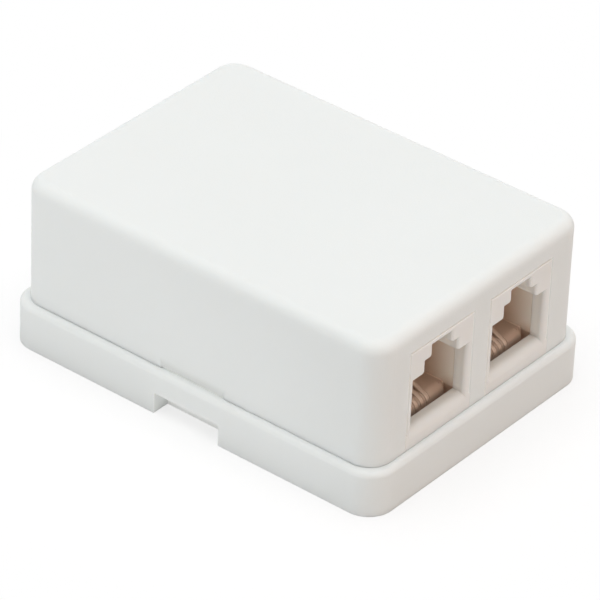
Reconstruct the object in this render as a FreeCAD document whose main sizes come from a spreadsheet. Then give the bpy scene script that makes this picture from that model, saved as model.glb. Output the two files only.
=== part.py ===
"""Two-port surface mount jack box: a screw-down base, a lift-off cover and two modular jacks.

The origin is the middle of the mounting face. X runs across the box, Y along it with the
two sockets at the -Y end, and Z away from the wall. Millimetres throughout.
"""
import FreeCAD, Part
import os
import Sketcher
from FreeCAD import Vector

SIZES = {
    # base moulding
    "base_length": 55.0,
    "base_width": 40.2,
    "base_height": 5.9,
    "base_corner": 3.4,
    "base_edge_round": 0.7,
    "floor_thick": 1.8,
    "ledge": 1.0,
    "rim_gap": 0.2,
    "rim_wide": 1.0,
    "rim_high": 1.6,
    "bead_long": 6.0,
    "bead_high": 0.5,
    "bead_proud": 0.15,
    "bead_spacing": 34.0,
    "stop_thick": 1.0,
    "stop_high": 3.1,
    # cable entry in each long side, and the opening through the floor behind it
    "entry_long": 9.7,
    "entry_high": 2.8,
    "entry_deep": 2.5,
    "entry_web": 0.8,
    "feed_long": 8.0,
    "feed_wide": 5.4,
    # wall screw holes on the centre line
    "wall_hole": 4.2,
    "wall_hole_sink": 7.6,
    "wall_boss": 9.0,
    "wall_boss_high": 1.4,
    "wall_hole_clear": 0.5,
    "wall_hole_spacing": 24.0,
    # cover shell
    "cover_height": 16.5,
    "cover_wall": 1.6,
    "cover_corner": 3.05,
    "cover_edge_round": 1.55,
    "pry_long": 9.3,
    "pry_high": 0.25,
    "pry_deep": 0.8,
    "hold_rib": 1.0,
    "hold_gap": 0.1,
    # the two jacks and their windows in the cover's end wall
    "jack_pitch": 14.7,
    "window_wide": 11.75,
    "window_high": 13.28,
    "window_gap": 0.1,
    "window_round": 0.2,
    "foot_high": 2.0,
    "housing_long": 15.0,
    "housing_gap": 0.15,
    "housing_wall": 0.8,
    "housing_back": 1.1,
    "housing_top": 0.45,
    # socket opening for a six-position plug, latch side up
    "port_wide": 9.8,
    "port_high": 6.85,
    "sill_high": 2.35,
    "step_wide": 6.0,
    "step_high": 1.7,
    "slot_wide": 3.6,
    "slot_high": 1.6,
    "plate_thick": 1.8,
    "plate_round": 0.2,
    "tab_deep": 3.0,
    "tab_round": 0.45,
    "latch_round": 0.4,
    "jamb_round": 0.6,
    "sill_round": 1.1,
    # contact carrier
    "carrier_gap": 0.05,
    "cheek_thick": 0.45,
    "cheek_cut": 0.25,
    "cheek_low": 2.5,
    "nose_wide": 8.9,
    "nose_radius": 1.15,
    "nose_high": 1.63,
    "nose_deep": 3.8,
    "shelf_deep": 3.2,
    "groove_wide": 0.72,
    "groove_deep": 0.35,
    "groove_long": 2.0,
    "comb_deep": 12.6,
    "comb_top": 7.9,
    "comb_slot": 0.72,
    "comb_slot_deep": 0.8,
    "tail_block_top": 3.3,
    # spring contacts
    "contact_wide": 0.62,
    "contact_thick": 0.4,
    "contact_pitch": 1.02,
    "contact_angle": 24.0,
    "contact_reach": 0.5,
    "contact_seat_gap": 0.03,
    # leads from the jacks to the terminals
    "lead_wire": 0.9,
    "lead_bend": 1.0,
    "lead_gap": 0.1,
    "lead_pitch": 1.1,
    "lead_in_barrel": 1.6,
    # screw terminals
    "terminal_clear": 0.6,
    "terminal_pitch": 6.4,
    "boss_wide": 5.4,
    "boss_high": 4.4,
    "boss_wall_gap": 0.35,
    "gusset_wide": 1.2,
    "gusset_high": 3.9,
    "pilot_hole": 2.6,
    "pilot_deep": 4.2,
    "lug_thick": 0.5,
    "lug_wide": 5.0,
    "lug_slot": 3.1,
    "lug_slot_flat": 0.05,
    "lug_back": 2.3,
    "lug_front": 2.9,
    "barrel_wide": 1.7,
    "barrel_hole": 1.05,
    "barrel_long": 2.2,
    "barrel_end": 0.3,
    "washer_wide": 5.2,
    "washer_thick": 0.6,
    "washer_hole": 3.1,
    "washer_corner": 0.6,
    "screw_core": 2.4,
    "screw_long": 4.8,
    "head_wide": 5.0,
    "head_high": 1.9,
    "head_bevel": 0.5,
    "drive_wide": 0.75,
    "drive_long": 3.0,
    "drive_deep": 1.0,
}
PORTS = {"left": -1, "right": 1}
CONTACTS_PER_JACK = 4

doc = FreeCAD.newDocument("surface_mount_jack_box")
sheet = doc.addObject("Spreadsheet::Sheet", "Sizes")
for row, (alias, value) in enumerate(SIZES.items(), start=1):
    sheet.set("A%d" % row, alias)
    sheet.set("B%d" % row, str(value))
    sheet.setAlias("B%d" % row, alias)
doc.recompute()


def size(expression):
    """Write an expression on the sheet's names, such as size('2 * @ledge')."""
    return expression.replace("@", "Sizes.")


def number(expression):
    return float(sheet.evalExpression(expression))


def offset_from(origin, distance):
    return "(%s + %s)" % (origin, distance)


# places that several pieces share, each worked out from the sheet
HALF_LENGTH = size("(@base_length / 2)")
HALF_WIDTH = size("(@base_width / 2)")
COVER_HALF_LENGTH = size("(@base_length / 2 - @ledge)")
COVER_HALF_WIDTH = size("(@base_width / 2 - @ledge)")
RIM_INSET = size("(@ledge + @cover_wall + @rim_gap)")
TRAY_INSET = size("(@ledge + @cover_wall + @rim_gap + @rim_wide)")
SEAM_Z = size("@base_height")
CEILING_Z = size("(@base_height + @cover_height - @cover_wall)")
# along Y, from the sockets' face to the backs of the jacks
FACE_Y = size("(@ledge - @base_length / 2)")
SHOULDER_Y = offset_from(FACE_Y, size("(@cover_wall + @housing_gap)"))
PLATE_Y = offset_from(FACE_Y, size("@plate_thick"))
END_WALL_Y = offset_from(TRAY_INSET, "-" + HALF_LENGTH)
NOSE_Y = offset_from(FACE_Y, size("@nose_deep"))
COMB_Y = offset_from(FACE_Y, size("@comb_deep"))
BACK_Y = offset_from(FACE_Y, size("@housing_long"))
COMB_BACK_Y = offset_from(BACK_Y, size("-@housing_back"))
STOP_Y = offset_from(BACK_Y, size("@stop_thick"))
# across and up through one jack
FLANGE_HALF = size("(@window_wide / 2 - @window_gap)")
CARRIER_HALF = size("(@port_wide / 2 + @cheek_thick)")
CAVITY_HALF = offset_from(CARRIER_HALF, size("@carrier_gap"))
BODY_HALF = offset_from(CAVITY_HALF, size("@housing_wall"))
HOUSING_TOP_Z = size("(@base_height + @window_high - @window_gap)")
PORT_Z = size("(@base_height + @sill_high)")
PORT_TOP_Z = offset_from(PORT_Z, size("@port_high"))
STEP_TOP_Z = offset_from(PORT_TOP_Z, size("@step_high"))
SLOT_TOP_Z = offset_from(STEP_TOP_Z, size("@slot_high"))
NOSE_Z = size("(@base_height + @nose_high)")
CORE_RADIUS = size("(@nose_radius - @groove_deep)")
TAIL_TOP_Z = size("(@base_height + @tail_block_top)")
# the screw terminals
TERMINAL_X = "(%s - %s - Sizes.boss_wall_gap - Sizes.boss_wide / 2)" % (HALF_WIDTH, TRAY_INSET)
BARREL_MOUTH_X = offset_from(TERMINAL_X, size("-(@lug_front + @barrel_long)"))
BOSS_TOP_Z = size("(@floor_thick + @boss_high)")
LEAD_Z = size("(@floor_thick + @boss_high + @lug_thick / 2)")
WASHER_Z = size("(@floor_thick + @boss_high + @lug_thick)")
HEAD_Z = size("(@floor_thick + @boss_high + @lug_thick + @washer_thick)")


def new_body(label):
    body = doc.addObject("PartDesign::Body", label)
    body.Label = label
    return body


def new_sketch(body, role, offset="0"):
    """A sketch on one of the body's own origin planes, moved along its normal."""
    sketch = body.newObject("Sketcher::SketchObject", body.Label + "_sketch")
    plane = [feature for feature in body.Origin.OriginFeatures if feature.Role == role][0]
    sketch.AttachmentSupport = [(plane, "")]
    sketch.MapMode = "FlatFace"
    sketch.setExpression(".AttachmentOffset.Base.z", offset)
    return sketch


def bind(sketch, constraint, expression):
    index = sketch.addConstraint(constraint)
    sketch.setExpression("Constraints[%d]" % index, expression)


def place_point(sketch, geometry, point, x, y):
    """Tie one point of the sketch to the origin by its two distances."""
    bind(sketch, Sketcher.Constraint("DistanceX", -1, 1, geometry, point, number(x)), x)
    bind(sketch, Sketcher.Constraint("DistanceY", -1, 1, geometry, point, number(y)), y)


def draw_polygon(sketch, points):
    corners = [Vector(number(x), number(y), 0) for x, y in points]
    first = sketch.GeometryCount
    count = len(corners)
    for index in range(count):
        sketch.addGeometry(Part.LineSegment(corners[index], corners[(index + 1) % count]))
    for index in range(count):
        following = first + (index + 1) % count
        sketch.addConstraint(Sketcher.Constraint("Coincident", first + index, 2, following, 1))
        place_point(sketch, first + index, 1, *points[index])


def draw_rectangle(sketch, x_low, x_high, y_low, y_high):
    draw_polygon(sketch, [(x_low, y_low), (x_high, y_low), (x_high, y_high), (x_low, y_high)])


def draw_circle(sketch, x, y, diameter):
    centre = Vector(number(x), number(y), 0)
    circle = sketch.addGeometry(Part.Circle(centre, Vector(0, 0, 1), number(diameter) / 2))
    place_point(sketch, circle, 3, x, y)
    bind(sketch, Sketcher.Constraint("Diameter", circle, number(diameter)), diameter)


def draw_octagon(sketch, x, y, wide, thick):
    """A rectangle with its corners cut at 45 degrees, a regular octagon if it is a square."""
    cut = "(%s / 2 * (1 - tan(22.5deg)))" % thick
    outer_x, inner_x = "(%s / 2)" % wide, "(%s / 2 - %s)" % (wide, cut)
    outer_y, inner_y = "(%s / 2)" % thick, "(%s / 2 - %s)" % (thick, cut)
    corners = [(outer_x, inner_y), (inner_x, outer_y),
               ("-" + inner_x, outer_y), ("-" + outer_x, inner_y),
               ("-" + outer_x, "-" + inner_y), ("-" + inner_x, "-" + outer_y),
               (inner_x, "-" + outer_y), (outer_x, "-" + inner_y)]
    draw_polygon(sketch, [(offset_from(x, right), offset_from(y, up)) for right, up in corners])


def add_pad(body, sketch, length, backwards=False):
    pad = body.newObject("PartDesign::Pad", body.Label + "_pad")
    pad.Profile = sketch
    pad.Reversed = backwards
    pad.setExpression("Length", length)
    body.Tip = pad
    doc.recompute()


def add_pocket(body, sketch, depth, backwards=False):
    """Cut a pocket and make sure that it took something away."""
    before = body.Shape.Volume
    pocket = body.newObject("PartDesign::Pocket", body.Label + "_pocket")
    pocket.Profile = sketch
    pocket.Reversed = backwards
    pocket.setExpression("Length", depth)
    body.Tip = pocket
    doc.recompute()
    if not body.Shape.Volume < before - 1e-4:
        raise ValueError("a pocket cuts nothing in " + body.Label)


def add_fillet(body, radius, wanted):
    """Round the edges of the body's last feature for which wanted(edge) is true."""
    base = body.Tip
    names = ["Edge%d" % (index + 1) for index, edge in enumerate(base.Shape.Edges) if wanted(edge)]
    if not names:
        raise ValueError("no edge to round in " + body.Label)
    fillet = body.newObject("PartDesign::Fillet", body.Label + "_fillet")
    fillet.Base = (base, names)
    fillet.setExpression("Radius", radius)
    body.Tip = fillet
    doc.recompute()


def add_chamfer(body, width, wanted):
    base = body.Tip
    names = ["Edge%d" % (index + 1) for index, edge in enumerate(base.Shape.Edges) if wanted(edge)]
    if not names:
        raise ValueError("no edge to chamfer in " + body.Label)
    chamfer = body.newObject("PartDesign::Chamfer", body.Label + "_chamfer")
    chamfer.Base = (base, names)
    chamfer.setExpression("Size", width)
    body.Tip = chamfer
    doc.recompute()


def is_straight(edge, direction):
    if not isinstance(edge.Curve, Part.Line):
        return False
    return abs(edge.Curve.Direction.dot(direction)) > 0.999


def lies_at(edge, axis, value):
    """True if the whole edge lies in the plane where that coordinate has the value."""
    box = edge.BoundBox
    low = getattr(box, axis + "Min")
    high = getattr(box, axis + "Max")
    return abs(low - value) < 1e-3 and abs(high - value) < 1e-3


def middle(edge):
    return edge.valueAt((edge.FirstParameter + edge.LastParameter) / 2)


def add_block(body, half_x, half_y, bottom, height, corner):
    """A block centred on the Z axis with rounded upright corners."""
    sketch = new_sketch(body, "XY_Plane", bottom)
    draw_rectangle(sketch, "-" + half_x, half_x, "-" + half_y, half_y)
    add_pad(body, sketch, height)
    add_fillet(body, corner, lambda edge: is_straight(edge, Vector(0, 0, 1)))


def port_centre(side):
    return size("(%d * @jack_pitch / 2)" % side)


def terminal_x(side):
    return "(%d * %s)" % (side, TERMINAL_X)


def terminal_places():
    """Y of each screw terminal: one between the jack and the cable opening, the rest past it."""
    rows = [offset_from(STOP_Y, size("(@terminal_clear + @boss_wide / 2)"))]
    for index in range(CONTACTS_PER_JACK - 1):
        place = "(@feed_long / 2 + @terminal_clear + @boss_wide / 2 + %d * @terminal_pitch)" % index
        rows.append(size(place))
    return rows


def build_base():
    """Shallow tray with a ledge for the cover, a locating rim, and the terminal bosses."""
    body = new_body("base")
    add_block(body, HALF_WIDTH, HALF_LENGTH, "0", SEAM_Z, size("@base_corner"))
    top = number(SEAM_Z)
    add_fillet(body, size("@base_edge_round"), lambda edge: lies_at(edge, "Z", top))

    rim_x = "(%s - %s)" % (HALF_WIDTH, RIM_INSET)
    rim_y = "(%s - %s)" % (HALF_LENGTH, RIM_INSET)
    tray_x = "(%s - %s)" % (HALF_WIDTH, TRAY_INSET)
    tray_y = "(%s - %s)" % (HALF_LENGTH, TRAY_INSET)
    sketch = new_sketch(body, "XY_Plane", SEAM_Z)
    draw_rectangle(sketch, "-" + rim_x, rim_x, "-" + rim_y, rim_y)
    add_pad(body, sketch, size("@rim_high"))
    rim_half = number(rim_x)
    add_fillet(body, size("(@cover_corner - @cover_wall)"),
               lambda edge: is_straight(edge, Vector(0, 0, 1)) and middle(edge).z > top
               and abs(abs(middle(edge).x) - rim_half) < 1e-3)

    sketch = new_sketch(body, "XY_Plane", size("@floor_thick"))
    draw_rectangle(sketch, "-" + tray_x, tray_x, "-" + tray_y, tray_y)
    add_pocket(body, sketch, size("(@base_height + @rim_high)"), backwards=True)

    # the rim stops short of the jacks, which stand on the end wall
    reach = "(Sizes.jack_pitch / 2 + %s + Sizes.rim_gap)" % BODY_HALF
    sketch = new_sketch(body, "XY_Plane", SEAM_Z)
    draw_rectangle(sketch, "-" + reach, reach, "-" + HALF_LENGTH, "-(%s - Sizes.rim_wide)" % tray_y)
    add_pocket(body, sketch, size("@rim_high"), backwards=True)

    # low beads on the rim's long sides take up the play of the cover
    sketch = new_sketch(body, "XY_Plane", size("(@base_height + @rim_high / 2)"))
    bead_half = size("@bead_long / 2")
    for edge in (-1, 1):
        bead = size("(%d * @bead_spacing / 2)" % edge)
        for low, high in (("(%s - Sizes.rim_wide / 2)" % rim_x, "(%s + Sizes.bead_proud)" % rim_x),
                          ("-(%s + Sizes.bead_proud)" % rim_x, "-(%s - Sizes.rim_wide / 2)" % rim_x)):
            draw_rectangle(sketch, low, high, offset_from(bead, "-" + bead_half),
                           offset_from(bead, bead_half))
    add_pad(body, sketch, size("@bead_high"))

    # terminal bosses, each tied to the side wall by a gusset
    sketch = new_sketch(body, "XY_Plane", size("@floor_thick"))
    for side in PORTS.values():
        for place in terminal_places():
            draw_circle(sketch, terminal_x(side), place, size("@boss_wide"))
    add_pad(body, sketch, size("@boss_high"))
    sketch = new_sketch(body, "XY_Plane", size("@floor_thick"))
    gusset_half = size("@gusset_wide / 2")
    gusset_ends = "(%s + Sizes.boss_wide / 4)" % TERMINAL_X, "(%s + Sizes.rim_gap)" % tray_x
    for place in terminal_places():
        low, high = offset_from(place, "-" + gusset_half), offset_from(place, gusset_half)
        draw_rectangle(sketch, gusset_ends[0], gusset_ends[1], low, high)
        draw_rectangle(sketch, "-" + gusset_ends[1], "-" + gusset_ends[0], low, high)
    add_pad(body, sketch, size("@gusset_high"))
    sketch = new_sketch(body, "XY_Plane", BOSS_TOP_Z)
    for side in PORTS.values():
        for place in terminal_places():
            draw_circle(sketch, terminal_x(side), place, size("@pilot_hole"))
    add_pocket(body, sketch, size("@pilot_deep"))

    # bosses for the wall screws, then their countersunk holes
    first = offset_from(STOP_Y, size("(@wall_hole_clear + @wall_boss / 2)"))
    places = [first, offset_from(first, size("@wall_hole_spacing"))]
    sketch = new_sketch(body, "XY_Plane", size("@floor_thick"))
    for place in places:
        draw_circle(sketch, "0", place, size("@wall_boss"))
    add_pad(body, sketch, size("@wall_boss_high"))
    sketch = new_sketch(body, "XY_Plane", size("(@floor_thick + @wall_boss_high)"))
    for place in places:
        draw_circle(sketch, "0", place, size("@wall_hole"))
    doc.recompute()
    hole = body.newObject("PartDesign::Hole", "wall_screw_holes")
    hole.Profile = sketch
    hole.DepthType = "ThroughAll"
    hole.HoleCutType = "Countersink"
    hole.setExpression("Diameter", size("@wall_hole"))
    hole.setExpression("HoleCutDiameter", size("@wall_hole_sink"))
    hole.HoleCutCountersinkAngle = 90
    body.Tip = hole
    doc.recompute()

    # cable entries: open below, closed inside by a thin web that is broken out when used,
    # with an opening through the floor behind the web
    outer = size("(@base_width / 2 + 1)")
    web_out = size("(@base_width / 2 - @entry_deep)")
    web_in = size("(@base_width / 2 - @entry_deep - @entry_web)")
    feed_in = size("(@base_width / 2 - @entry_deep - @entry_web - @feed_wide)")
    for low, high, half in ((web_out, outer, size("(@entry_long / 2)")),
                            (feed_in, web_in, size("(@feed_long / 2)"))):
        sketch = new_sketch(body, "XY_Plane")
        draw_rectangle(sketch, low, high, "-" + half, half)
        draw_rectangle(sketch, "-" + high, "-" + low, "-" + half, half)
        add_pocket(body, sketch, size("@entry_high"), backwards=True)

    # a stop behind each jack keeps it from being pushed in
    sketch = new_sketch(body, "XY_Plane", size("@floor_thick"))
    for side in PORTS.values():
        centre = port_centre(side)
        draw_rectangle(sketch, offset_from(centre, "-" + CARRIER_HALF), offset_from(centre, CARRIER_HALF),
                       BACK_Y, STOP_Y)
    add_pad(body, sketch, size("@stop_high"))
    return body


def build_cover():
    """One-piece shell with two U-notches that drop over the jacks."""
    body = new_body("cover")
    add_block(body, COVER_HALF_WIDTH, COVER_HALF_LENGTH, SEAM_Z, size("@cover_height"),
              size("@cover_corner"))
    top = number(size("@base_height + @cover_height"))
    add_fillet(body, size("@cover_edge_round"), lambda edge: lies_at(edge, "Z", top))

    inner_x = "(%s - Sizes.cover_wall)" % COVER_HALF_WIDTH
    inner_y = "(%s - Sizes.cover_wall)" % COVER_HALF_LENGTH
    sketch = new_sketch(body, "XY_Plane", SEAM_Z)
    draw_rectangle(sketch, "-" + inner_x, inner_x, "-" + inner_y, inner_y)
    add_pocket(body, sketch, size("(@cover_height - @cover_wall)"), backwards=True)
    inside = number(inner_x)
    add_fillet(body, size("(@cover_corner - @cover_wall)"),
               lambda edge: is_straight(edge, Vector(0, 0, 1))
               and abs(abs(middle(edge).x) - inside) < 1e-3)

    sketch = new_sketch(body, "XZ_Plane", "-" + FACE_Y)
    for side in PORTS.values():
        centre = port_centre(side)
        half = size("(@window_wide / 2)")
        draw_rectangle(sketch, offset_from(centre, "-" + half), offset_from(centre, half),
                       SEAM_Z, size("(@base_height + @window_high)"))
    add_pocket(body, sketch, size("@cover_wall"))
    face = number(FACE_Y)
    window_top = number(size("@base_height + @window_high"))
    window_sides = [abs(number(port_centre(side)) + edge * number(size("@window_wide / 2")))
                    for side in PORTS.values() for edge in (-1, 1)]

    def is_window(edge):
        point = middle(edge)
        on_side = any(abs(abs(point.x) - x) < 1e-3 for x in window_sides)
        on_top = abs(point.z - window_top) < 1e-3
        return lies_at(edge, "Y", face) and (on_side or on_top)

    add_fillet(body, size("@window_round"), is_window)

    # shallow slots in the lower edge, above the cable entries, for a coin or a blade
    sketch = new_sketch(body, "XY_Plane", SEAM_Z)
    half = size("(@pry_long / 2)")
    inner = "(%s - Sizes.pry_deep)" % COVER_HALF_WIDTH
    outer = "(%s + 1)" % COVER_HALF_WIDTH
    draw_rectangle(sketch, inner, outer, "-" + half, half)
    draw_rectangle(sketch, "-" + outer, "-" + inner, "-" + half, half)
    add_pocket(body, sketch, size("@pry_high"), backwards=True)

    # ribs under the top hold the jacks down when the cover is on
    sketch = new_sketch(body, "XY_Plane", CEILING_Z)
    for side in PORTS.values():
        centre = port_centre(side)
        for edge in (-1, 1):
            rib = offset_from(centre, size("%d * @window_wide / 4" % edge))
            draw_rectangle(sketch, offset_from(rib, size("-@hold_rib / 2")),
                           offset_from(rib, size("@hold_rib / 2")),
                           offset_from(FACE_Y, size("@cover_wall")), BACK_Y)
    add_pad(body, sketch, "(%s - %s - Sizes.hold_gap)" % (CEILING_Z, HOUSING_TOP_Z), backwards=True)
    return body


def build_housing(name, side):
    """Jack housing: front plate flush with the cover, stepped socket opening, open below."""
    body = new_body("jack_housing_" + name)
    centre = port_centre(side)
    middle_x = number(centre)
    face = number(FACE_Y)

    def across(half):
        return offset_from(centre, "-" + half), offset_from(centre, half)

    # the body is wider than the plate, so the cover's end wall holds it from in front
    sketch = new_sketch(body, "XZ_Plane", "-" + SHOULDER_Y)
    draw_rectangle(sketch, *across(BODY_HALF), SEAM_Z, HOUSING_TOP_Z)
    add_pad(body, sketch, "(%s - %s)" % (BACK_Y, SHOULDER_Y), backwards=True)
    sketch = new_sketch(body, "XZ_Plane", "-" + FACE_Y)
    draw_rectangle(sketch, *across(FLANGE_HALF), SEAM_Z, HOUSING_TOP_Z)
    add_pad(body, sketch, size("(@cover_wall + @housing_gap)"), backwards=True)
    base_z = number(SEAM_Z)
    add_fillet(body, size("@plate_round"),
               lambda edge: lies_at(edge, "Y", face) and not lies_at(edge, "Z", base_z))

    # the foot fills the bottom of the cover's notch
    sketch = new_sketch(body, "XZ_Plane", "-" + FACE_Y)
    draw_rectangle(sketch, *across(size("(@window_wide / 2)")), SEAM_Z,
                   size("(@base_height + @foot_high)"))
    add_pad(body, sketch, size("(@cover_wall + @housing_gap)"), backwards=True)

    # the side walls go down to the floor of the base, behind its end wall
    sketch = new_sketch(body, "XY_Plane", SEAM_Z)
    low, high = across(BODY_HALF)
    for start, end in ((low, offset_from(low, size("@housing_wall"))),
                       (offset_from(high, size("-@housing_wall")), high)):
        draw_rectangle(sketch, start, end, offset_from(END_WALL_Y, size("@housing_gap")), BACK_Y)
    add_pad(body, sketch, size("(@base_height - @floor_thick)"), backwards=True)

    # inside: room for the plug and the carrier, open at the bottom, and a channel for the latch
    sketch = new_sketch(body, "XZ_Plane", "-(%s)" % PLATE_Y)
    low, high = across(CAVITY_HALF)
    draw_rectangle(sketch, low, high, SEAM_Z, PORT_TOP_Z)
    add_pocket(body, sketch, "(%s - %s)" % (COMB_BACK_Y, PLATE_Y))
    sketch = new_sketch(body, "XZ_Plane", "-(%s + Sizes.tab_deep)" % FACE_Y)
    latch_low, latch_high = across(size("(@step_wide / 2)"))
    draw_rectangle(sketch, latch_low, latch_high, PORT_Z, "(%s - Sizes.housing_top)" % HOUSING_TOP_Z)
    add_pocket(body, sketch, "(%s - %s - Sizes.tab_deep)" % (COMB_BACK_Y, FACE_Y))

    # the carrier's tail passes under the back wall
    sketch = new_sketch(body, "XZ_Plane", "-" + BACK_Y)
    draw_rectangle(sketch, low, high, SEAM_Z, TAIL_TOP_Z)
    add_pocket(body, sketch, size("@housing_back"), backwards=True)

    # the stepped opening for plug and latch
    sketch = new_sketch(body, "XZ_Plane", "-" + FACE_Y)
    port_low, port_high = across(size("(@port_wide / 2)"))
    slot_low, slot_high = across(size("(@slot_wide / 2)"))
    draw_polygon(sketch, [(port_low, PORT_Z), (port_high, PORT_Z), (port_high, PORT_TOP_Z),
                          (latch_high, PORT_TOP_Z), (latch_high, STEP_TOP_Z), (slot_high, STEP_TOP_Z),
                          (slot_high, SLOT_TOP_Z), (slot_low, SLOT_TOP_Z), (slot_low, STEP_TOP_Z),
                          (latch_low, STEP_TOP_Z), (latch_low, PORT_TOP_Z), (port_low, PORT_TOP_Z)])
    add_pocket(body, sketch, size("@tab_deep"))

    # rounded corners on the steps, then a soft lead-in all round: wide over the sill and down
    # both sides, closer on the latch steps
    tabs = [(number(latch_high) - middle_x, number(PORT_TOP_Z)),
            (number(slot_high) - middle_x, number(STEP_TOP_Z))]

    def is_tab(edge):
        point = middle(edge)
        on_corner = any(abs(abs(point.x - middle_x) - x) < 1e-3 and abs(point.z - z) < 1e-3
                        for x, z in tabs)
        return is_straight(edge, Vector(0, 1, 0)) and on_corner

    add_fillet(body, size("@tab_round"), is_tab)
    half_port = number(size("@port_wide / 2"))
    sill = number(PORT_Z)
    half_up = number(offset_from(PORT_Z, size("@port_high / 2")))
    plate_top = number(HOUSING_TOP_Z)

    add_fillet(body, size("@jamb_round"),
               lambda edge: lies_at(edge, "Y", face) and is_straight(edge, Vector(0, 0, 1))
               and abs(abs(middle(edge).x - middle_x) - half_port) < 1e-3)
    add_fillet(body, size("@sill_round"),
               lambda edge: lies_at(edge, "Y", face) and is_straight(edge, Vector(1, 0, 0))
               and abs(middle(edge).z - sill) < 1e-3)

    def is_latch(edge):
        point = middle(edge)
        inside = abs(point.x - middle_x) < half_port - 1e-3 and half_up < point.z < plate_top - 1e-3
        return lies_at(edge, "Y", face) and inside

    add_fillet(body, size("@latch_round"), is_latch)
    return body


def build_carrier(name, side):
    """Insert that lines the port and carries its contacts: grooved nose, comb and tail."""
    body = new_body("contact_carrier_" + name)
    centre = port_centre(side)
    comb_top = size("(@base_height + @comb_top)")
    sketch = new_sketch(body, "YZ_Plane", offset_from(centre, "-" + CARRIER_HALF))
    draw_polygon(sketch, [(COMB_Y, size("@floor_thick")), (BACK_Y, size("@floor_thick")),
                          (BACK_Y, TAIL_TOP_Z), (COMB_BACK_Y, TAIL_TOP_Z), (COMB_BACK_Y, comb_top),
                          (COMB_Y, comb_top)])
    add_pad(body, sketch, "(2 * (%s))" % CARRIER_HALF)

    # a floor with a round front edge, which the contacts are bent round
    nose_start = offset_from(centre, size("-@nose_wide / 2"))
    low, high = "(%s - %s)" % (NOSE_Z, CORE_RADIUS), "(%s + %s)" % (NOSE_Z, CORE_RADIUS)
    sketch = new_sketch(body, "YZ_Plane", nose_start)
    draw_rectangle(sketch, NOSE_Y, COMB_Y, low, high)
    add_pad(body, sketch, size("@nose_wide"))
    sketch = new_sketch(body, "YZ_Plane", nose_start)
    draw_circle(sketch, NOSE_Y, NOSE_Z, "(2 * %s)" % CORE_RADIUS)
    add_pad(body, sketch, size("@nose_wide"))

    # ribs between the contacts, and a broad one at either end, leave a groove for each contact
    foot_z = size("(@base_height + @carrier_gap)")
    front_y = "(%s - Sizes.nose_radius)" % NOSE_Y
    nose_top = "(%s + Sizes.nose_radius)" % NOSE_Z
    edges = [nose_start]
    for index in range(CONTACTS_PER_JACK):
        line = contact_line(side, index)
        edges += [offset_from(line, size("-@groove_wide / 2")), offset_from(line, size("@groove_wide / 2"))]
    edges.append(offset_from(centre, size("@nose_wide / 2")))
    sketch = new_sketch(body, "XZ_Plane", "-" + front_y)
    for start, end in zip(edges[::2], edges[1::2]):
        draw_rectangle(sketch, start, end, foot_z, nose_top)
    add_pad(body, sketch, size("(@nose_radius + @groove_long)"), backwards=True)
    front, top = number(front_y), number(nose_top)
    add_fillet(body, size("@nose_radius"),
               lambda edge: lies_at(edge, "Y", front) and lies_at(edge, "Z", top))

    # the floor reaches both side walls, except in front, where the nose stands clear
    sketch = new_sketch(body, "XZ_Plane", "-(%s + Sizes.shelf_deep)" % FACE_Y)
    for edge in (-1, 1):
        root, wall = size("(@nose_wide / 2 - @cheek_cut)"), CARRIER_HALF
        low, high = sorted(("(%s + %d * %s)" % (centre, edge, x) for x in (root, wall)), key=number)
        draw_rectangle(sketch, low, high, foot_z, nose_top)
    add_pad(body, sketch, "(%s - %s - Sizes.shelf_deep)" % (COMB_Y, FACE_Y), backwards=True)

    # cheeks line both sides of the port, set back below to clear the nose
    sketch = new_sketch(body, "XZ_Plane", "-(%s + Sizes.carrier_gap)" % PLATE_Y)
    cheek_z = size("(@base_height + @cheek_low)")
    cheek_top = "(%s - Sizes.carrier_gap)" % PORT_TOP_Z
    slab_z = "(%s - %s)" % (NOSE_Z, CORE_RADIUS)
    root, wall = size("(@nose_wide / 2 - @cheek_cut)"), size("(@port_wide / 2)")
    cut = size("(@port_wide / 2 + @cheek_cut)")
    for edge in (-1, 1):
        outline = [(root, foot_z), (CARRIER_HALF, foot_z), (CARRIER_HALF, cheek_top), (wall, cheek_top),
                   (wall, cheek_z), (cut, cheek_z), (cut, slab_z), (root, slab_z)]
        draw_polygon(sketch, [("(%s + %d * %s)" % (centre, edge, x), z) for x, z in outline])
    add_pad(body, sketch, "(%s - %s - Sizes.carrier_gap)" % (COMB_BACK_Y, PLATE_Y), backwards=True)

    # one slot of the comb guides the free end of each contact
    sketch = new_sketch(body, "XZ_Plane", "-(%s)" % COMB_Y)
    for index in range(CONTACTS_PER_JACK):
        line = contact_line(side, index)
        draw_rectangle(sketch, offset_from(line, size("-@comb_slot / 2")),
                       offset_from(line, size("@comb_slot / 2")), TAIL_TOP_Z, comb_top)
    add_pocket(body, sketch, size("@comb_slot_deep"))
    return body


def contact_line(side, index):
    """The X of one contact: four of the six positions, centred on the port."""
    step = index - (CONTACTS_PER_JACK - 1) / 2
    return size("(%d * @jack_pitch / 2 + %s * @contact_pitch)" % (side, step))


def sweep_wire(body, path, start_y, x, z, wide, thick):
    """Sweep a wire's or a strip's section along the path, which sets out along Y."""
    sketch = new_sketch(body, "XZ_Plane", "-" + start_y)
    draw_octagon(sketch, x, z, wide, thick)
    pipe = body.newObject("PartDesign::AdditivePipe", body.Label + "_pipe")
    pipe.Profile = sketch
    pipe.Spine = (path, [])
    body.Tip = pipe
    doc.recompute()


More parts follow.
